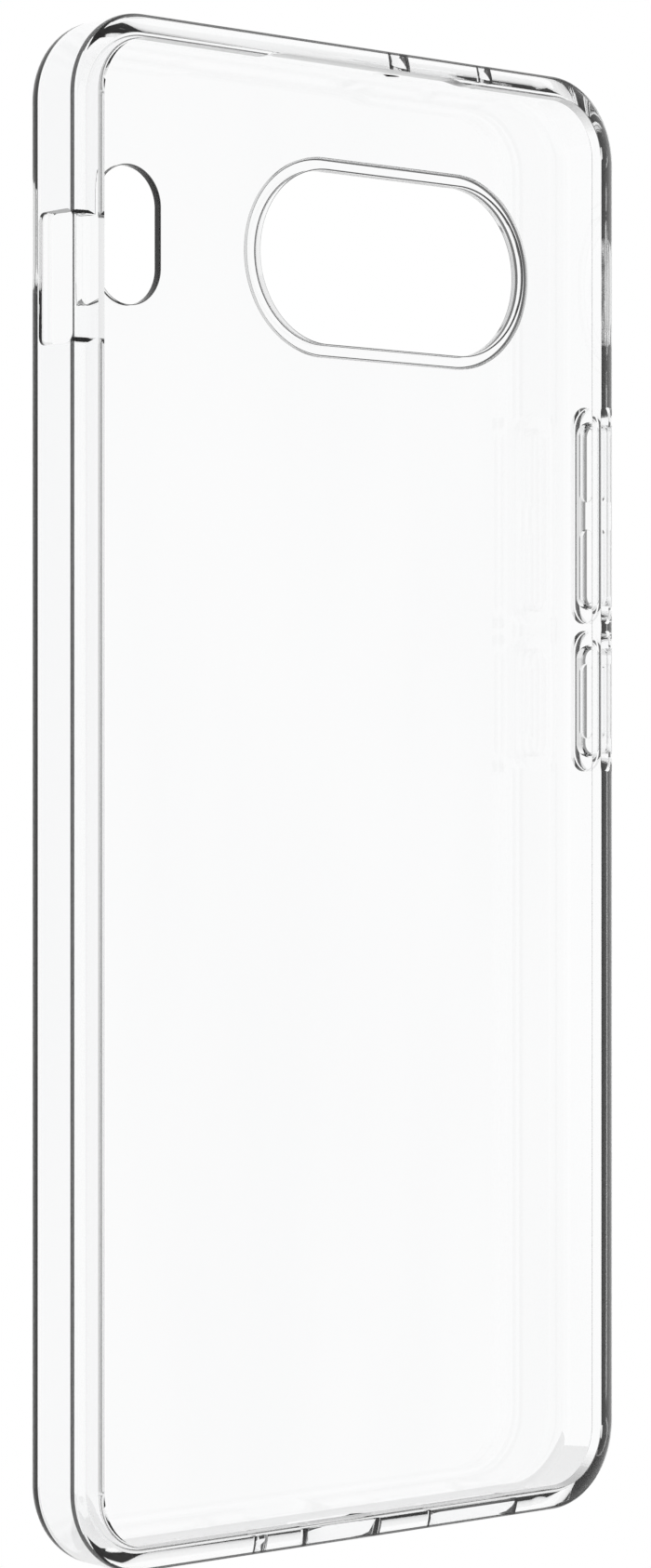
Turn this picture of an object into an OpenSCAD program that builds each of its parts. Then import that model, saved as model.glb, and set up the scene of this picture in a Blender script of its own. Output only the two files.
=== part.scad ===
// Clear soft case for a handheld phone, stood upright with its open side facing -Y.
// One soft moulding, split here into the zones that have their own job.
// Origin: the middle of the pocket floor, where the back of the phone lies.

/* [Phone] */
// Width of the phone
phone_w = 75.0; // [60:0.1:85]
// Height of the phone
phone_h = 162.0; // [120:0.1:180]
// Thickness of the phone
phone_t = 7.8; // [6.5:0.1:12]
// Space left round the phone's thickness
phone_fit = 0.1; // [0:0.05:0.4]

/* [Shell] */
// Thickness of the four walls
wall_t = 1.9; // [1.2:0.1:2.4]
// Thickness of the back panel
back_t = 1.1; // [0.8:0.1:2.5]
// Thickness of the lip that holds the phone in, at its inside edge
lip_t = 0.9; // [0.8:0.05:2]
// Width of the front face along the sides, from the outside of the case to the lip's inside edge
lip_w = 3.2; // [2.8:0.05:4]
// The same width along the top and the bottom
lip_end_w = 2.75; // [2.7:0.05:4]
// Rounding where the lip meets the walls, inside
lip_fillet_r = 0.8; // [0.3:0.1:1]
// How far the front face falls from the lip's inside edge to the outside
front_fall = 1.25; // [0:0.05:1.5]
// Outside radius of the four corners
corner_r = 9.4; // [6:0.1:16]
// Rounding of the outside back edge
back_edge_r = 2.1; // [1.2:0.1:2.5]
// Rounding of the outside front edge
front_edge_r = 0.35; // [0.2:0.05:1.5]
// Rounding where the walls meet the pocket floor
floor_fillet_r = 0.6; // [0.6:0.1:2]

/* [Camera window] */
// Length of the camera window
cam_w = 39.6; // [20:0.1:50]
// Height of the camera window
cam_h = 19.6; // [8:0.1:25]
// Camera window middle, in from the right outside edge
cam_side = 27.35; // [25:0.05:32]
// Camera window middle, down from the top edge
cam_drop = 22.5; // [16:0.1:30]
// Width of the raised rim round the camera window
guard_w = 1.5; // [1:0.1:3]
// Height of the raised rim above the back
guard_h = 0.8; // [0.3:0.1:1.5]
// Rounding of the raised rim
guard_edge_r = 0.4; // [0.2:0.05:0.5]

/* [Flash window] */
// Width of the flash window
flash_w = 8.5; // [4:0.1:10]
// Height of the flash window
flash_h = 15.1; // [10:0.1:20]
// Flash window middle, in from the left outside edge
flash_side = 13.2; // [9:0.1:15]
// Flash window middle, down from the top edge
flash_drop = 22.4; // [16:0.1:30]

/* [Left wall] */
// Length of the opening over the phone's slide switch
slider_l = 14.1; // [8:0.1:20]
// Height of the slide switch opening, front to back
slider_h = 5.9; // [4:0.1:6.4]
// Slide switch opening middle, in front of the pocket floor
slider_z = 4.4; // [3.8:0.1:4.7]
// Slide switch opening middle, down from the top edge
slider_drop = 28.5; // [20:0.1:60]
// Corner radius of the slide switch opening
slider_r = 1.0; // [0.5:0.1:2]

/* [Right wall buttons] */
// Length of the volume bar
volume_l = 21.8; // [16:0.1:30]
// Volume bar middle, down from the top edge
volume_drop = 50.4; // [40:0.1:55]
// Length of the power key
power_l = 12.9; // [10:0.1:16]
// Gap between the volume bar and the power key
keys_apart = 4.4; // [4:0.1:8]
// Middle of both keys, in front of the pocket floor
key_rise = 4.6; // [3.8:0.1:4.7]
// Width of both keys
key_w = 3.2; // [2:0.1:4]
// Height of both keys above the outside of the wall
key_h = 0.6; // [0.2:0.1:1.2]
// Rounding of the keys' outside edge
key_edge_r = 0.4; // [0.1:0.05:0.5]
// Width of the thin web along the long sides of each key
web_w = 0.9; // [0.6:0.1:1]
// Width of the web at the ends of each key
web_end_w = 1.8; // [0.8:0.1:1.9]
// Thickness of the web
web_t = 0.5; // [0.3:0.05:0.8]
// Gap that lets a key move in its web
key_gap = 0.15; // [0.05:0.05:0.3]
// Length of each hollow behind the keys
hollow_l = 8.8; // [4:0.1:9]
// Width of the hollows
hollow_w = 2.2; // [1:0.1:2.8]
// Depth of the hollows
hollow_d = 0.5; // [0.2:0.1:0.8]
// Distance from each end of the volume bar to its hollow
hollow_end = 0.5; // [0.4:0.05:2]

/* [Bottom wall] */
// Length of the charging opening
port_l = 11.2; // [9:0.1:14]
// Height of the charging opening
port_h = 5.2; // [4:0.1:6]
// Charging opening middle, left of the middle line
port_x = 0.9; // [-2:0.1:2]
// Length of the speaker slot
speaker_l = 13.5; // [8:0.1:16]
// Height of the speaker slot
speaker_h = 2.4; // [1.5:0.1:4]
// Speaker slot middle, right of the middle line
speaker_x = 18.8; // [15:0.1:22]
// Width of the lower microphone hole
low_mic_d = 1.8; // [1:0.1:3]
// Lower microphone hole, left of the middle line
low_mic_x = 12.5; // [9:0.1:20]

/* [Top wall] */
// Width of the larger sound hole
big_hole_d = 2.9; // [1:0.1:4]
// Larger sound hole, right of the middle line
big_hole_x = 7.6; // [2:0.1:12]
// Width of the smaller sound hole
small_hole_d = 2.1; // [1:0.1:3]
// Smaller sound hole, right of the middle line
small_hole_x = 20.6; // [15:0.1:25]

/* [Earpiece relief] */
// Length of the set-back lip above the earpiece
relief_l = 23.5; // [10:0.1:30]
// Middle of the set-back lip, right of the middle line
relief_x = 1.1; // [-5:0.1:5]
// Radius of the sweep at each end of it
relief_r = 1.6; // [0.5:0.05:2]

/* [Hidden] */
$fn = 96;
e = 0.5;                                     // overshoot of cutting shapes
clear_tpu = [0.93, 0.95, 0.97, 0.35];
clear_key = [0.90, 0.93, 0.96, 0.45];
pocket_d = phone_t + phone_fit;              // pocket floor to underside of the lip
front_z = pocket_d + lip_t;
case_w = phone_w + 2 * wall_t;
case_h = phone_h + 2 * wall_t;
inner_r = corner_r - wall_t;
lip_r = min(lip_fillet_r, min(lip_w, lip_end_w) - wall_t - 0.05);
knife = 0.2 * lip_r;                         // foot of that rounding, too thin to mould
mouth_r = corner_r - max(lip_w, lip_end_w);  // corner of the opening inside the lip
floor_inset = wall_t + floor_fillet_r + 0.1;  // edge of the flat floor, from the outside
top_y = case_h / 2;
cam_x = case_w / 2 - cam_side;
flash_x = case_w / 2 - flash_side;
hollow_pitch = volume_l - hollow_l - 2 * hollow_end;
power_drop = volume_drop + volume_l / 2 + keys_apart + power_l / 2;
cam_y = top_y - cam_drop;
flash_y = top_y - flash_drop;
slider_y = top_y - slider_drop;
volume_y = top_y - volume_drop;
power_y = top_y - power_drop;
// the band of each wall that is flat on the outside
band_lo = back_edge_r - back_t;
front_turn = atan2(lip_w, front_fall);       // turn from the wall to the front face
edge_z = front_z - front_fall;
band_hi = edge_z - front_edge_r * tan(front_turn / 2);
hole_z = pocket_d / 2;
seat_w = key_w + 2 * web_w;                  // opening in the wall for a web
key_z = min(key_rise, band_hi - seat_w / 2);
web_x = case_w / 2 - wall_t / 2 - web_t / 2;
key_x = case_w / 2 - wall_t + 0.3;           // inner face of the keys

// ---- helpers, drawn lying on the back: z runs from the floor to the open side ----

module stand() { rotate([90, 0, 0]) children(); }

module pill2d(l, w) {
    square([w, l - w], center = true);
    for (s = [-1, 1]) translate([0, s * (l - w) / 2]) circle(d = w);
}

module rounded2d(w, h, r) {
    square([w - 2 * r, h], center = true);
    square([w, h - 2 * r], center = true);
    for (sx = [-1, 1], sy = [-1, 1])
        translate([sx * (w / 2 - r), sy * (h / 2 - r)]) circle(r = r);
}

// a section drawn at (radius, z) carried round one corner
module corner(w, h, r, sx, sy) {
    a = sx > 0 ? (sy > 0 ? 0 : 270) : (sy > 0 ? 90 : 180);
    translate([sx * (w / 2 - r), sy * (h / 2 - r), 0]) rotate([0, 0, a])
        rotate_extrude(angle = 90) children();
}

// the same section carried straight along the right (s = 1) or left (s = -1) side
module upright(w, h, r, s) {
    rotate([0, 0, s > 0 ? 0 : 180]) translate([w / 2 - r, 0, 0]) rotate([90, 0, 0])
        linear_extrude(h - 2 * r, center = true) children();
}

// the same section carried along the top (s = 1) or bottom (s = -1)
module level(w, h, r, s) {
    rotate([0, 0, s > 0 ? 90 : 270]) translate([h / 2 - r, 0, 0]) rotate([90, 0, 0])
        linear_extrude(w - 2 * r, center = true) children();
}

// outline of the case in section: a rounded back edge, a straight side, and a front face
// that rises from a tighter edge to the inside of the lip
module outer_section() {
    r = corner_r;
    f = front_edge_r;
    translate([0, -back_t]) square([r - back_edge_r, back_t + band_lo]);
    translate([r - back_edge_r, band_lo]) circle(r = back_edge_r);
    translate([r - f, band_hi]) circle(r = f);
    polygon([[0, band_lo], [r, band_lo], [r, band_hi], [r - f, band_hi],
             [r - f + f * cos(front_turn), band_hi + f * sin(front_turn)],
             [r - lip_w, front_z], [0, front_z]]);
}

// the pocket in section, with the fillet at the floor
module pocket_section() {
    f = floor_fillet_r;
    translate([-e, 0]) square([inner_r - f + e, pocket_d + e]);
    translate([-e, f]) square([inner_r + e, front_z - f + e]);
    translate([inner_r - f, f]) circle(r = f);
}

module wall_section() {
    difference() {
        intersection() {
            outer_section();
            translate([corner_r - floor_inset, -back_t - e])
                square([floor_inset + e, back_t + front_z + 2 * e]);
        }
        pocket_section();
    }
}

// the part of the front that hangs over the pocket, with a rounding below it
module lip_section() {
    f = lip_r;
    intersection() {
        outer_section();
        translate([corner_r - max(lip_w, lip_end_w), pocket_d])
            square([max(lip_w, lip_end_w) - wall_t, lip_t + e]);
    }
    difference() {
        translate([inner_r - f, pocket_d - f + knife]) square([f, f - knife]);
        translate([inner_r - f, pocket_d - f]) circle(r = f);
    }
}

// a section drawn at (radius, z) carried round a pill, its long way along Y
module round_pill(l, w) {
    for (s = [-1, 1]) translate([0, s * (l - w) / 2, 0]) rotate([0, 0, s > 0 ? 0 : 180])
        rotate_extrude(angle = 180) children();
    for (s = [0, 180]) rotate([0, 0, s]) rotate([90, 0, 0])
        linear_extrude(l - w, center = true) children();
}

// half of a pill's section, t thick, with its far edge rounded
module key_section(w, t, r) {
    square([w / 2, t - r]);
    square([w / 2 - r, t]);
    translate([w / 2 - r, t - r]) circle(r = r);
}

// a pill that stands out along +X on the right wall, with its outside edge rounded
module soft_pill(l, w, t, r) {
    rotate([0, 90, 0]) round_pill(l, w) key_section(w, t, r);
}

// a pill-shaped cutter along +X
module pill_cut(x0, x1, l, w) {
    translate([x0, 0, 0]) rotate([0, 90, 0]) linear_extrude(x1 - x0) pill2d(l, w);
}

// a rounded cutter along +Y, l wide and h deep
module wall_cut(l, h, r) {
    rotate([90, 0, 0]) linear_extrude(4 * wall_t, center = true) rounded2d(l, h, r);
}

// the web that joins a key to the wall
module key_web(l) {
    difference() {
        pill_cut(web_x, web_x + web_t, l + 2 * web_end_w, seat_w);
        pill_cut(web_x - e, web_x + web_t + e, l + 2 * key_gap, key_w + 2 * key_gap);
    }
}

// ---- pieces ----

module back_panel() {
    color(clear_tpu) stand() difference() {
        translate([0, 0, -back_t]) linear_extrude(back_t)
            rounded2d(case_w - 2 * floor_inset, case_h - 2 * floor_inset,
                      corner_r - floor_inset);
        translate([cam_x, cam_y, -back_t - e]) rotate([0, 0, 90])
            linear_extrude(back_t + 2 * e) pill2d(cam_w + 2 * guard_w, cam_h + 2 * guard_w);
        translate([-flash_x, flash_y, -back_t - e])
            linear_extrude(back_t + 2 * e) pill2d(flash_h, flash_w);
    }
}

// the raised rim in section, its rounded edge at the back
module guard_section() {
    r = guard_edge_r;
    translate([cam_h / 2, -back_t - guard_h + r]) square([guard_w, back_t + guard_h - r]);
    translate([cam_h / 2, -back_t - guard_h]) square([guard_w - r, back_t + guard_h]);
    translate([cam_h / 2 + guard_w - r, -back_t - guard_h + r]) circle(r = r);
}

module camera_guard() {
    color(clear_tpu) stand() translate([cam_x, cam_y, 0]) rotate([0, 0, 90])
        round_pill(cam_w, cam_h) guard_section();
}

module slider_cut() {
    translate([-case_w / 2, slider_y, slider_z]) rotate([0, 0, 90])
        wall_cut(slider_l, slider_h, slider_r);
}

module left_wall() {
    color(clear_tpu) stand() difference() {
        upright(case_w, case_h, corner_r, -1) wall_section();
        slider_cut();
    }
}

// openings in the right wall for the webs of both keys
module seat_cuts() {
    for (place = [[volume_y, volume_l], [power_y, power_l]])
        translate([0, place[0], key_z])
            pill_cut(case_w / 2 - 2 * wall_t, case_w / 2 + e, place[1] + 2 * web_end_w, seat_w);
}

module right_wall() {
    color(clear_tpu) stand() difference() {
        upright(case_w, case_h, corner_r, 1) wall_section();
        seat_cuts();
    }
}

module top_wall() {
    color(clear_tpu) stand() difference() {
        union() {
            level(case_w, case_h, corner_r, 1) wall_section();
            for (s = [-1, 1]) corner(case_w, case_h, corner_r, s, 1) wall_section();
        }
        translate([big_hole_x, top_y, hole_z]) rotate([90, 0, 0])
            cylinder(d = big_hole_d, h = 4 * wall_t, center = true);
        translate([small_hole_x, top_y, hole_z]) rotate([90, 0, 0])
            cylinder(d = small_hole_d, h = 4 * wall_t, center = true);
    }
}

module bottom_wall() {
    color(clear_tpu) stand() difference() {
        union() {
            level(case_w, case_h, corner_r, -1) wall_section();
            for (s = [-1, 1]) corner(case_w, case_h, corner_r, s, -1) wall_section();
        }
        translate([-port_x, -top_y, hole_z]) wall_cut(port_l, port_h, port_h / 2 - 0.01);
        translate([speaker_x, -top_y, hole_z])
            wall_cut(speaker_l, speaker_h, speaker_h / 2 - 0.01);
        translate([-low_mic_x, -top_y, hole_z]) rotate([90, 0, 0])
            cylinder(d = low_mic_d, h = 4 * wall_t, center = true);
    }
}

// plan of the cut that sets the lip back above the earpiece, with a sweep at each end
module relief_plan() {
    depth = lip_end_w - wall_t;
    r = min(relief_r, depth);
    translate([0, -depth - e]) {
        translate([-relief_l / 2, 0]) square([relief_l, depth + e]);
        for (s = [-1, 1]) difference() {
            translate([s > 0 ? relief_l / 2 : -relief_l / 2 - r, 0]) square([r, e + r]);
            translate([s * (relief_l / 2 + r), e + r]) circle(r = r);
        }
    }
}

module front_lip() {
    color(clear_tpu) stand() difference() {
        union() {
            for (s = [-1, 1]) {
                level(case_w, case_h, corner_r, s) lip_section();
                upright(case_w, case_h, corner_r, s) lip_section();
                for (t = [-1, 1]) corner(case_w, case_h, corner_r, s, t) lip_section();
            }
        }
        translate([0, 0, pocket_d - lip_r - e]) linear_extrude(lip_t + lip_r + 2 * e)
            rounded2d(case_w - 2 * lip_w, case_h - 2 * lip_end_w, mouth_r);
        translate([relief_x, top_y - wall_t, pocket_d - lip_r - e])
            linear_extrude(lip_t + lip_r + 2 * e) relief_plan();
        slider_cut();
        seat_cuts();
    }
}

module volume_web() {
    color(clear_tpu) stand() translate([0, volume_y, key_z]) key_web(volume_l);
}

module power_web() {
    color(clear_tpu) stand() translate([0, power_y, key_z]) key_web(power_l);
}

module volume_bar() {
    color(clear_key) stand() translate([0, volume_y, key_z]) difference() {
        translate([key_x, 0, 0])
            soft_pill(volume_l, key_w, case_w / 2 + key_h - key_x, key_edge_r);
        for (s = [-1, 1]) translate([0, s * hollow_pitch / 2, 0])
            pill_cut(key_x - e, key_x + hollow_d, hollow_l, hollow_w);
    }
}

module power_key() {
    color(clear_key) stand() translate([0, power_y, key_z]) difference() {
        translate([key_x, 0, 0])
            soft_pill(power_l, key_w, case_w / 2 + key_h - key_x, key_edge_r);
        pill_cut(key_x - e, key_x + hollow_d, hollow_l, hollow_w);
    }
}

back_panel();
camera_guard();
left_wall();
right_wall();
top_wall();
bottom_wall();
front_lip();
volume_web();
volume_bar();
power_web();
power_key();
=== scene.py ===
import math
import bpy
import bmesh
from mathutils import Matrix, Vector


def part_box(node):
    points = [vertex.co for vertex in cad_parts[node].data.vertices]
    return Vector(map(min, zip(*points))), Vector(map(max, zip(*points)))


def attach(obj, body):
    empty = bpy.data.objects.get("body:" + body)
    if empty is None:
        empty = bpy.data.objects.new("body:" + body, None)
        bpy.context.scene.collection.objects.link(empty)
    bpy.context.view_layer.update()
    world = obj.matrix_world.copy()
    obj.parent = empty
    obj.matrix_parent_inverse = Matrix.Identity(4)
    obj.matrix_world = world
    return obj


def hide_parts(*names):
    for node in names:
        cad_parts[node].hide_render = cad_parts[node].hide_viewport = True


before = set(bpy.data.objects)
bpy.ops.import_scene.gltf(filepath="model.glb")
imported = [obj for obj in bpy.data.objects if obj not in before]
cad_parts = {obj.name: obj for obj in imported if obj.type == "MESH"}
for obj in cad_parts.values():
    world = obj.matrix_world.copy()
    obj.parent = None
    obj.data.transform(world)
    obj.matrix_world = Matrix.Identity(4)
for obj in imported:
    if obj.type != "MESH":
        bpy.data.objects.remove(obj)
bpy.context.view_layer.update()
scene = bpy.context.scene
mm = 0.001


def span(node):
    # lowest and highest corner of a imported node, in millimetres
    low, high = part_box(node)
    return [v / mm for v in low], [v / mm for v in high]


def middle(low, high, axis):
    return (low[axis] + high[axis]) / 2


leftLow = span("left_wall")[0]
rightHigh = span("right_wall")[1]
topHigh = span("top_wall")[1]
panelHigh = span("back_panel")[1]
lipLow, lipHigh = span("front_lip")
rimLow, rimHigh = span("camera_guard")
rimLong, rimWide = rimHigh[0] - rimLow[0], rimHigh[2] - rimLow[2]
rimAt = (middle(rimLow, rimHigh, 0), middle(rimLow, rimHigh, 2), 0)
through = 3.5                   # how far a cutting tool reaches past the skin it cuts

# Everything is modelled lying on its back in millimetres, with z towards the open side,
# and stood up at the end, so z here is -y of the finished case.


def standUp(bm):
    bmesh.ops.transform(bm, matrix=Matrix.Rotation(math.radians(90), 4, "X"), verts=bm.verts)
    bmesh.ops.scale(bm, vec=(mm, mm, mm), verts=bm.verts)


def makePiece(name, bm):
    mesh = bpy.data.meshes.new(name)
    bm.to_mesh(mesh)
    bm.free()
    piece = bpy.data.objects.new(name, mesh)
    scene.collection.objects.link(piece)
    return piece


def roundEdge(centreX, centreZ, radius, start, end, steps):
    angles = [math.radians(start + (end - start) * i / steps) for i in range(steps + 1)]
    return [(centreX + radius * math.cos(a), centreZ + radius * math.sin(a)) for a in angles]


def turn(bm, edges, centre, steps):
    verts = list({v for edge in edges for v in edge.verts})
    done = bmesh.ops.spin(bm, geom=verts + edges, cent=centre, axis=(0, 0, 1), dvec=(0, 0, 0),
                          angle=math.radians(90), steps=steps, use_merge=False)
    return [part for part in done["geom_last"] if isinstance(part, bmesh.types.BMEdge)]


def pull(bm, edges, offset):
    done = bmesh.ops.extrude_edge_only(bm, edges=edges)
    verts = [part for part in done["geom"] if isinstance(part, bmesh.types.BMVert)]
    bmesh.ops.translate(bm, vec=offset, verts=verts)
    return [part for part in done["geom"] if isinstance(part, bmesh.types.BMEdge)
            and all(v in verts for v in part.verts)]


def carryRound(section, width, height, radius, steps):
    # carries a section, drawn at (x, z) on the right side, once round a rounded rectangle
    bm = bmesh.new()
    straightX, straightY = width - 2 * radius, height - 2 * radius
    verts = [bm.verts.new((x, -straightY / 2, z)) for x, z in section]
    edges = [bm.edges.new(pair) for pair in zip(verts, verts[1:])]
    for sideX, sideY in ((1, 1), (-1, 1), (-1, -1), (1, -1)):
        straight = (0, sideX * straightY, 0) if sideX == sideY else (sideX * straightX, 0, 0)
        if max(abs(v) for v in straight) > 0:
            edges = pull(bm, edges, straight)
        edges = turn(bm, edges, (sideX * straightX / 2, sideY * straightY / 2, 0), steps)
    bmesh.ops.remove_doubles(bm, verts=bm.verts, dist=0.0005)
    rims = [edge for edge in bm.edges if edge.is_boundary]
    bmesh.ops.holes_fill(bm, edges=rims, sides=0)
    bmesh.ops.recalc_face_normals(bm, faces=bm.faces)
    return bm


def plug(width, height, radius, low, high, steps=20):
    # upright solid with rounded corners, for cutting holes
    return carryRound([(width / 2, low), (width / 2, high)], width, height, radius, steps)


def softPlug(width, height, low, high, soft, steps):
    # a pill that opens a window and leaves both of its edges rounded
    half = width / 2
    section = [(half + soft, low - 1)]
    section += roundEdge(half + soft, low + soft, soft, 270, 180, 5)
    section += roundEdge(half + soft, high - soft, soft, 180, 90, 5)
    section += [(half + soft, high + 1)]
    return carryRound(section, width, height, half, steps)


def place(bm, turns, at):
    for degrees, axis in turns:
        matrix = Matrix.Rotation(math.radians(degrees), 3, axis)
        bmesh.ops.rotate(bm, cent=(0, 0, 0), matrix=matrix, verts=bm.verts)
    bmesh.ops.translate(bm, vec=at, verts=bm.verts)
    return bm


def joinOrCut(body, tools, operation):
    for bm in tools:
        tool = makePiece("tool", bm)
        cut = body.modifiers.new("cut", "BOOLEAN")
        cut.operation = operation
        cut.solver = "EXACT"
        cut.object = tool
        bpy.context.view_layer.update()
        body.data = bpy.data.meshes.new_from_object(
            body.evaluated_get(bpy.context.evaluated_depsgraph_get()))
        body.modifiers.clear()
        bpy.data.objects.remove(tool)


def finishMoulding(piece, moves, clearOfPaintedShade, sharpAngle=28):
    # merges what the cuts left double, paints shade on the edges through a face attribute, stands
    # the piece up and keeps it crisp
    bm = bmesh.new()
    bm.from_mesh(piece.data)
    bmesh.ops.remove_doubles(bm, verts=bm.verts, dist=0.001)
    bmesh.ops.recalc_face_normals(bm, faces=bm.faces)
    # each face gets its painted shade: 1 is clear, lower paints its colour darker
    layer = bm.faces.layers.float.new("clearOfPaintedShade")
    for face in bm.faces:
        face[layer] = clearOfPaintedShade(face.calc_center_median(), face.normal)
    place(bm, *moves)
    bmesh.ops.recalc_face_normals(bm, faces=bm.faces)
    standUp(bm)
    for face in bm.faces:
        face.smooth = True
    for edge in bm.edges:
        edge.smooth = edge.calc_face_angle(0) < math.radians(sharpAngle)
    openEdges = sum(len(edge.link_faces) != 2 for edge in bm.edges)
    print(piece.name, "faces", len(bm.faces), "open edges", openEdges)
    bm.to_mesh(piece.data)
    bm.free()
    weigh = piece.modifiers.new("flat faces first", "WEIGHTED_NORMAL")
    weigh.weight = 100
    weigh.keep_sharp = True


shell = {
    "wallTop": 2.27, "wallFoot": 1.51,    # the walls thin out a little towards the floor
    "cornerRadius": 9.4,
    "backEdge": 2.1,             # rounding of the outside back edge
    "frontEdge": 0.76,           # rounding of the outside front edge
    "frontFall": 1.25,           # how far the front face falls from the lip to the outside
    "lipWidth": 3.2,             # along the sides
    "lipEndWidth": 2.75,         # along the top and the bottom
    "lipEdge": 0.08,             # rounding of the lip's inside edge
    "lipFillet": 1.38,           # rounding where the lip meets the walls
    "faceSwell": 0.17,           # how far the front face stands out in its middle
    "floorFillet": 0.69,
    "arcSteps": 14, "faceSteps": 8, "cornerSteps": 28,
}


def shellSection(s, half, front, pocket, back):
    # back edge, outside, front edge, front face, lip, wall and fillet, from the back to the floor
    innerTop, inner, lip = half - s["wallTop"], half - s["wallFoot"], half - s["lipWidth"]
    floorEdge = inner - s["floorFillet"] - 0.1
    lean = math.atan2(s["lipWidth"], s["frontFall"])
    bandTop = front - s["frontFall"] - s["frontEdge"] * math.tan(lean / 2)
    n = s["arcSteps"]
    points = [(floorEdge, -back)]
    points += roundEdge(half - s["backEdge"], s["backEdge"] - back, s["backEdge"], -90, 0, n)
    points += roundEdge(half - s["frontEdge"], bandTop, s["frontEdge"], 0, math.degrees(lean), n)
    startX, startZ = points[-1]
    runX, runZ = lip + s["lipEdge"] - startX, front - startZ
    for k in [step / s["faceSteps"] for step in range(1, s["faceSteps"])]:
        swell = s["faceSwell"] * 4 * k * (1 - k)
        points.append((startX + runX * k + math.cos(lean) * swell,
                       startZ + runZ * k + math.sin(lean) * swell))
    points += roundEdge(lip + s["lipEdge"], front - s["lipEdge"], s["lipEdge"], 90, 180, 4)
    points += [(lip, pocket)]
    under = min(s["lipFillet"], innerTop - lip - 0.02)
    points += roundEdge(innerTop - under, pocket - under, under, 90, 0, n)
    points += roundEdge(inner - s["floorFillet"], s["floorFillet"], s["floorFillet"], 0, -90, n)
    points += [(floorEdge, 0)]
    return points


def inset(point, width, height, radius):
    # distance in from the outside of a rounded rectangle about the origin
    outX, outY = abs(point.x) - width / 2 + radius, abs(point.y) - height / 2 + radius
    return radius - math.hypot(max(outX, 0), max(outY, 0)) - min(max(outX, outY), 0)


def tilted(normal, low=0.12, high=0.97):
    # true on a rounding, false on an upright or a level face
    return low < abs(normal.z) < high


def upright(normal):
    return abs(normal.z) < 0.3


# painted shade on each kind of edge: the colour is darkened there to stand in for the dark lines
# that bent light draws in clear plastic, 1 being quite clear
paintedEdgeShade = {
    "frontEdge": 0.13,           # outside front edge, wider along the top and the bottom
    "lipEnd": 0.5,               # inside face of the lip, along the top and the bottom
    "relief": 0.35,
    "cameraEdge": 0.12,
    "rimEdge": 0.12,
    "flashEdge": 0.12,
    "keyEdge": 0.3,
}


def shellPaintedShade(s, c, t, width, height, front, back, pocket):
    # gives a function that finds the kind of edge a face lies on and returns the painted shade for
    # it
    flashWide, flashLong = c["flash"]
    slack = 0.05
    reliefHalf = c["relief"] / 2 + c["reliefSweep"]

    def ends(normal):
        # 0 on a side, 1 at the top or the bottom
        return (normal.y / (math.hypot(normal.x, normal.y) or 1)) ** 2

    def paintedShadeAt(point, normal):
        depth = inset(point, width, height, s["cornerRadius"])
        if depth < 10 * slack and abs(point.z - front + s["frontFall"]) < 14 * slack:
            if tilted(normal, 0.04, 0.6 + 0.3 * ends(normal)):
                return t["frontEdge"]
        onLip = s["wallTop"] - 2 * slack < depth < s["lipWidth"] + 2 * slack
        if onLip and upright(normal) and point.z > pocket - s["lipFillet"]:
            if point.y > 0 and abs(point.x - c["reliefAt"]) < reliefHalf - 0.02:
                return t["relief"]
            if point.z > pocket:
                # painted shade on the lip's inside face, darker where it faces the top or the
                # bottom
                return 1 - (1 - t["lipEnd"]) * max(0, 1.8 * abs(normal.y) - 0.8)
        if point.z > 0.01 or not tilted(normal):
            return 1.0
        rimDepth = inset(point - Vector(rimAt), rimLong, rimWide, rimWide / 2)
        if -slack < rimDepth < c["rimRound"] + slack and point.z < -back:
            return t["rimEdge"]
        if -c["windowEdge"] - slack < rimDepth - c["cameraRim"] < slack:
            return t["cameraEdge"]
        flashDepth = inset(point - Vector((*c["flashAt"], 0)), flashWide, flashLong, flashWide / 2)
        if -c["flashEdge"] - slack < flashDepth < slack:
            return t["flashEdge"]
        return 1.0

    return paintedShadeAt


cuts = {
    "cameraRim": 1.5, "rimRound": 0.4, "windowEdge": 0.18, "flashEdge": 0.16,
    "flash": (8.5, 15.1), "flashAt": (-26.2, 60.5),
    "slider": (14.1, 5.9, 1.0), "sliderAt": (54.4, 4.4),
    "port": (11.2, 5.2), "portAt": -0.9,
    "speaker": (13.5, 2.4), "speakerAt": 18.8,
    "lowMic": 1.8, "lowMicAt": -12.5,
    "bigHole": 2.9, "bigHoleAt": 7.6,
    "smallHole": 2.1, "smallHoleAt": 20.6,
    "relief": 23.5, "reliefSweep": 3.4, "reliefAt": 0.6,
    "keyGap": 0.15,
}


def cameraRim(c, back):
    # raised rim with a soft outside edge, and the plug that opens its window
    half, r, band = rimWide / 2, c["rimRound"], 2 * c["cameraRim"]
    section = [(half, -back / 2)] + roundEdge(half - r, r - rimHigh[1], r, 0, -90, 8)
    rim = place(carryRound(section, rimWide, rimLong, half, 48), [(90, "Z")], rimAt)
    window = softPlug(rimWide - band, rimLong - band, -rimHigh[1], 0, c["windowEdge"], 48)
    return rim, place(window, [(90, "Z")], rimAt)


def wallHole(long, high, at, top, centreZ):
    bm = plug(long, high, high / 2 - 0.005, -through, through)
    return place(bm, [(90, "X")], (at, top, centreZ))


def keySeats(c, key, web):
    # one seat from outside and one from inside leave the thin web; a slot frees the key in it
    (low, high), (webLow, webHigh) = span(key), span(web)
    at = (0, middle(low, high, 2), -middle(low, high, 1))
    seatLong, seatWide = webHigh[2] - webLow[2], webHigh[1] - webLow[1]
    gap = c["keyGap"]
    slotLong, slotWide = high[2] - low[2] + 2 * gap, high[1] - low[1] + 2 * gap
    inside, outside = rightHigh[0] - through, rightHigh[0] + through
    shapes = ((seatWide, seatLong, webHigh[0], outside), (seatWide, seatLong, inside, webLow[0]),
              (slotWide, slotLong, inside - 0.5, outside + 0.5))
    return [place(plug(wide, long, wide / 2, start, end, 24), [(90, "Y")], at)
            for wide, long, start, end in shapes]


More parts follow.
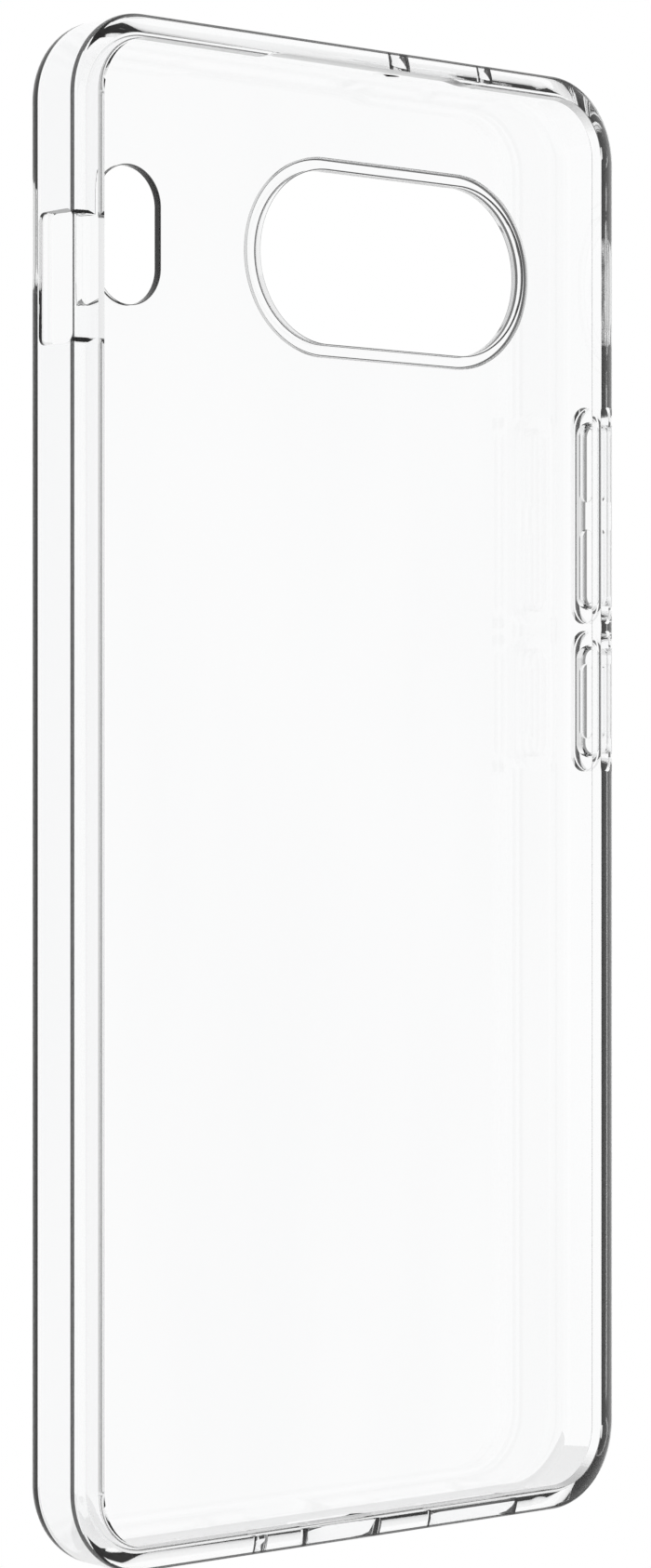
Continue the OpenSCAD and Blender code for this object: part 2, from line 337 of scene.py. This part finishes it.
def earpieceRelief(s, c, top, pocket):
    # takes the lip back to the wall above the earpiece, with a sweep at each end
    depth = s["lipEndWidth"] - s["wallTop"]
    half, sweep = c["relief"] / 2, c["reliefSweep"]
    r = (sweep ** 2 + depth ** 2) / (4 * depth)
    bend = math.degrees(math.asin(sweep / 2 / r))
    outline = [(half + sweep, -depth - 1)]
    outline += roundEdge(half + sweep, r - depth, r, 270, 270 - bend, 8)
    outline += roundEdge(half, -r, r, 90 - bend, 90, 8)[1:]
    outline += [(-x, y) for x, y in reversed(outline)]
    bm = bmesh.new()
    bm.faces.new([bm.verts.new((x, y, pocket - s["lipFillet"])) for x, y in outline])
    rise = bmesh.ops.extrude_face_region(bm, geom=list(bm.faces))
    upper = [part for part in rise["geom"] if isinstance(part, bmesh.types.BMVert)]
    bmesh.ops.translate(bm, vec=(0, 0, s["lipFillet"] + through), verts=upper)
    bmesh.ops.remove_doubles(bm, verts=bm.verts, dist=0.0005)
    bmesh.ops.recalc_face_normals(bm, faces=bm.faces)
    return place(bm, [], (c["reliefAt"], top - s["wallTop"], 0))


def makeShell(s, c):
    width, height = rightHigh[0] - leftLow[0], topHigh[2] * 2
    front, back, pocket = -lipLow[1], panelHigh[1], -lipHigh[1]
    top, holeZ = height / 2, pocket / 2
    section = shellSection(s, width / 2, front, pocket, back)
    body = makePiece("clearShell", carryRound(section, width, height, s["cornerRadius"],
                                              s["cornerSteps"]))
    rim, window = cameraRim(c, back)
    joinOrCut(body, [rim], "UNION")

    # the lip is narrower along the top and the bottom
    mouth = plug(width - 2 * s["lipWidth"] - 0.02, height - 2 * s["lipEndWidth"],
                 s["cornerRadius"] - s["lipWidth"], pocket - s["lipFillet"], front + 1, 24)
    flashWide, flashLong = c["flash"]
    flash = place(softPlug(flashWide, flashLong, -back, 0, c["flashEdge"], 32), [],
                  (*c["flashAt"], 0))
    sliderLong, sliderHigh, sliderRound = c["slider"]
    slider = place(plug(sliderLong, sliderHigh, sliderRound, -through, through, 10),
                   [(90, "X"), (90, "Z")], (leftLow[0], *c["sliderAt"]))
    tools = [mouth, window, flash, slider]
    tools.append(wallHole(*c["port"], c["portAt"], -top, holeZ))
    tools.append(wallHole(*c["speaker"], c["speakerAt"], -top, holeZ))
    tools.append(wallHole(c["lowMic"], c["lowMic"], c["lowMicAt"], -top, holeZ))
    for wide, at in ((c["bigHole"], c["bigHoleAt"]), (c["smallHole"], c["smallHoleAt"])):
        tools.append(wallHole(wide, wide, at, top, holeZ))
    tools += keySeats(c, "volume_bar", "volume_web") + keySeats(c, "power_key", "power_web")
    tools.append(earpieceRelief(s, c, top, pocket))
    joinOrCut(body, tools, "DIFFERENCE")
    # painted shade on the shell's edges
    paintedShades = shellPaintedShade(s, c, paintedEdgeShade, width, height, front, back, pocket)
    finishMoulding(body, ([], (0, 0, 0)), paintedShades)
    return body


key = {
    "edge": 0.4,                 # rounding of the outside face
    "hollow": (2.2, 8.8, 0.5),   # width, length and depth of a hollow behind
    "endToHollow": 0.5,
}


def makeKey(name, node, k, hollows):
    low, high = span(node)
    long, wide, thick = high[2] - low[2], high[1] - low[1], high[0] - low[0]
    r = k["edge"]
    section = [(wide / 2, 0)] + roundEdge(wide / 2 - r, thick - r, r, 0, 90, 8)
    body = makePiece(name, carryRound(section, wide, long, wide / 2, 20))
    hollowWide, hollowLong, hollowDeep = k["hollow"]
    apart = (long - hollowLong - 2 * k["endToHollow"]) / 2
    places = [0] if hollows == 1 else [-apart, apart]
    joinOrCut(body, [place(plug(hollowWide, hollowLong, hollowWide / 2, -1, hollowDeep, 16), [],
                           (0, y, 0)) for y in places], "DIFFERENCE")
    # painted shade on the key's roundings, from the keyEdge tone
    finishMoulding(body, ([(90, "Y")], (low[0], middle(low, high, 2), -middle(low, high, 1))),
                   lambda point, normal: paintedEdgeShade["keyEdge"] if tilted(normal) else 1.0)
    return body


class Wire:
    # one socket's value; arithmetic on it adds Math nodes
    def __init__(self, tree, socket):
        self.tree = tree
        self.socket = socket

    def maths(self, operation, other):
        return self.tree.add("ShaderNodeMath", {"operation": operation}, {0: self, 1: other})

    def __add__(self, other):
        return self.maths("ADD", other)

    def __mul__(self, other):
        return self.maths("MULTIPLY", other)

    def __pow__(self, other):
        return self.maths("POWER", other)

    __radd__ = __add__
    __rmul__ = __mul__


class Recipe:
    # a node tree that a material or the studio is written in
    def __init__(self, tree):
        self.tree = tree

    def join(self, value, socket):
        if isinstance(value, Wire):
            self.tree.links.new(value.socket, socket)
        else:
            socket.default_value = value

    def add(self, kind, settings, values, output=0):
        node = self.tree.nodes.new(kind)
        for name, value in settings.items():
            setattr(node, name, value)
        for name, value in values.items():
            self.join(value, node.inputs[name])
        return Wire(self, node.outputs[output])


clearPlastic = {
    "light": (0.990, 0.992, 0.994, 1),
    "deep": (0.976, 0.979, 0.982, 1),    # where the moulding is a little cloudier
    "ior": 1.5,
    "gloss": 0.012,
    "haze": 0.02,                        # how much rougher the cloudier places are
    "flowSize": 34,                      # noise cells in each metre of plastic
    "grainSize": 2600,
    "ripple": 0.00002,                   # height of the mould's ripple, in metres
}


def makeClearPlastic(name, p, offset):
    # clear moulding: slow flow marks, a faint haze in them, a very fine skin and painted shade on
    # its edges
    material = bpy.data.materials.new(name)
    material.use_nodes = True
    recipe = Recipe(material.node_tree)
    surface = material.node_tree.nodes["Principled BSDF"]
    surface.inputs["Transmission Weight"].default_value = 1.0
    surface.inputs["IOR"].default_value = p["ior"]
    where = recipe.add("ShaderNodeTexCoord", {}, {}, "Object")
    along = recipe.add("ShaderNodeMapping", {}, {"Vector": where, "Location": (offset, 0, 0),
                                                 "Scale": (1.6, 1, 0.35)})
    flow = recipe.add("ShaderNodeTexNoise", {}, {"Vector": along, "Scale": p["flowSize"],
                                                 "Detail": 3, "Roughness": 0.45})
    grain = recipe.add("ShaderNodeTexNoise", {}, {"Vector": where, "Scale": p["grainSize"],
                                                  "Detail": 2})
    cloud = recipe.add("ShaderNodeMapRange", {"interpolation_type": "SMOOTHSTEP"},
                       {"Value": flow, "From Min": 0.35, "From Max": 0.7})
    tint = recipe.add("ShaderNodeMix", {"data_type": "RGBA"},
                      {"Factor": cloud, 6: p["light"], 7: p["deep"]}, 2)
    # painted shade: the edge attribute mixes the colour towards black where bent light would draw
    # dark lines
    edges = recipe.add("ShaderNodeAttribute", {"attribute_name": "clearOfPaintedShade"}, {}, "Fac")
    shade = recipe.add("ShaderNodeMix", {"data_type": "RGBA"},
                       {"Factor": edges ** 2, 6: (0, 0, 0, 1), 7: tint}, 2)
    recipe.join(shade, surface.inputs["Base Color"])
    recipe.join(p["gloss"] + cloud * p["haze"], surface.inputs["Roughness"])
    bump = recipe.add("ShaderNodeBump", {}, {"Strength": 0.35, "Distance": p["ripple"],
                                             "Height": flow + grain * 0.02})
    recipe.join(bump, surface.inputs["Normal"])
    return material


shellPiece = makeShell(shell, cuts)
shellPiece.data.materials.append(makeClearPlastic("clear moulded plastic", clearPlastic, 0))
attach(shellPiece, "case")
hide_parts("back_panel", "camera_guard", "left_wall", "right_wall", "top_wall",
            "bottom_wall", "front_lip", "volume_web", "power_web")
print("shell done")

keyPlastic = makeClearPlastic("clear key plastic", clearPlastic, 0.2)
for name, node, hollows in (("volumeBar", "volume_bar", 2), ("powerKey", "power_key", 1)):
    keyPiece = makeKey(name, node, key, hollows)
    keyPiece.data.materials.append(keyPlastic)
    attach(keyPiece, node)
    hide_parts(node)
print("keys done")

studio = {
    "ahead": 1.0,                # light that comes from behind the case
    "behind": 0.62,              # light from the side that the open front faces
    "facing": 40.2,              # degrees: which way the bright side lies
}


def makeStudio(s):
    world = bpy.data.worlds.new("studio")
    scene.world = world
    world.use_nodes = True
    recipe = Recipe(world.node_tree)
    ways = recipe.add("ShaderNodeTexCoord", {}, {}, "Generated")
    a = math.radians(s["facing"])
    toward = recipe.add("ShaderNodeVectorMath", {"operation": "DOT_PRODUCT"},
                        {0: ways, 1: (math.sin(a), math.cos(a), 0)}, "Value")
    light = recipe.add("ShaderNodeMapRange", {"interpolation_type": "SMOOTHSTEP"},
                       {"Value": toward, "From Min": -0.5, "From Max": 0.5,
                        "To Min": s["behind"], "To Max": s["ahead"]})
    recipe.join(light, world.node_tree.nodes["Background"].inputs["Strength"])
    world.node_tree.nodes["Background"].inputs["Color"].default_value = (1, 1, 1, 1)
    scene.view_settings.view_transform = "Standard"


floor = {
    "colour": (0.93, 0.93, 0.93, 1),
    "roughness": 0.8,
    "glow": 0.08,
    "drop": 900,                 # below the middle of the case, in millimetres
    "width": 8,                  # metres
}


def makeFloor(f):
    bm = bmesh.new()
    bmesh.ops.create_circle(bm, cap_ends=True, segments=96, radius=f["width"] / 2)
    bmesh.ops.translate(bm, vec=(0, 0, -f["drop"] * mm), verts=bm.verts)
    piece = makePiece("studioFloor", bm)
    material = bpy.data.materials.new("pale floor")
    material.use_nodes = True
    recipe = Recipe(material.node_tree)
    surface = material.node_tree.nodes["Principled BSDF"]
    where = recipe.add("ShaderNodeTexCoord", {}, {}, "Object")
    mottle = recipe.add("ShaderNodeTexNoise", {}, {"Vector": where, "Scale": 3, "Detail": 4})
    surface.inputs["Base Color"].default_value = f["colour"]
    surface.inputs["Emission Color"].default_value = (1, 1, 1, 1)
    surface.inputs["Emission Strength"].default_value = f["glow"]
    recipe.join(f["roughness"] + mottle * 0.1, surface.inputs["Roughness"])
    piece.data.materials.append(material)


makeStudio(studio)
makeFloor(floor)
print("studio done")

view = {
    "at": (-300.78, -357.57, 0),     # millimetres, in the case's own frame
    "turn": 40.224,                  # degrees round from square on
    "lens": 95.43,                   # millimetres, on a 36 mm frame
    "shiftY": 0.0056,
}


def makeCamera(v):
    camera = bpy.data.cameras.new("camera")
    piece = bpy.data.objects.new("camera", camera)
    scene.collection.objects.link(piece)
    camera.sensor_width = 36
    camera.lens = v["lens"]
    camera.shift_y = v["shiftY"]
    camera.clip_start = 0.01
    piece.location = [value * mm for value in v["at"]]
    piece.rotation_euler = (math.radians(90), 0, math.radians(-v["turn"]))
    scene.camera = piece


makeCamera(view)
print("camera done")
